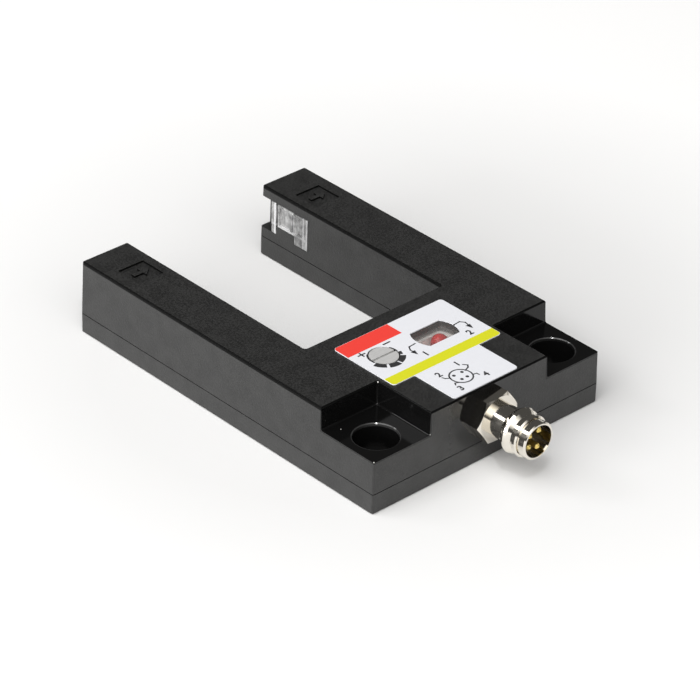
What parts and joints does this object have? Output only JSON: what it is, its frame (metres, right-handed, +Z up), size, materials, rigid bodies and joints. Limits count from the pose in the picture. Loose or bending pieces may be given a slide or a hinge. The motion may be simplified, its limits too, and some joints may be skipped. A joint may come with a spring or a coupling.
{
  "type": "fork sensor",
  "caption": "U-shaped photoelectric fork sensor with facing lenses, adjuster, indicator window and a rear M8 plug connector.",
  "frame": {"origin": "midway between the two mounting holes, on the base plane", "axes": "+X across the fork, +Y from the connector towards the tips of the arms, +Z up through the mounting holes"},
  "size_m": [0.0504, 0.083, 0.0139],
  "materials": {
    "housing": "satin black moulded plastic",
    "label": "white foil printed with a red and a yellow field",
    "window": "clear polished plastic",
    "lens": "clear polished plastic",
    "reflector": "grey moulded plastic",
    "red_led": "red tinted resin",
    "green_led": "pale resin",
    "adjuster": "grey moulded plastic",
    "rubber": "black rubber",
    "white_plastic": "white moulded plastic",
    "dark_plastic": "black moulded plastic",
    "nickel": "brass with bright nickel plating",
    "gold": "gold-plated brass",
    "board": "green glass-fibre board",
    "ceramic": "ceramic chips"
  },
  "bodies": {
    "housing": {"upper_housing": "housing", "lower_housing": "housing", "label": "label", "indicator_window": "window", "light_holder": "reflector", "signal_led": "red_led", "power_led": "green_led", "trimmer_body": "dark_plastic", "connector_shell": "nickel", "connector_insert": "dark_plastic", "contact_pin_1": "gold", "contact_pin_2": "gold", "contact_pin_3": "gold", "contact_pin_4": "gold", "connector_seal": "rubber", "connector_nut": "nickel", "connector_board": "board", "circuit_board": "board", "emitter_lens": "lens", "receiver_lens": "lens", "emitter": "red_led", "receiver": "dark_plastic", "emitter_holder": "dark_plastic", "receiver_holder": "dark_plastic", "signal_chip": "dark_plastic", "voltage_regulator": "dark_plastic", "resistors": "ceramic", "capacitors": "ceramic"},
    "trimmer": {"adjuster": "adjuster", "adjuster_seal": "rubber", "trimmer_rotor": "white_plastic"}
  },
  "joints": [
    {"name": "trimmer_turn", "type": "hinge", "parent": "housing", "child": "trimmer", "pos_m": [-0.00715, 0.0117, 0.0138], "axis": [0, 0, 1], "range_deg": [-135, 135]}
  ]
}
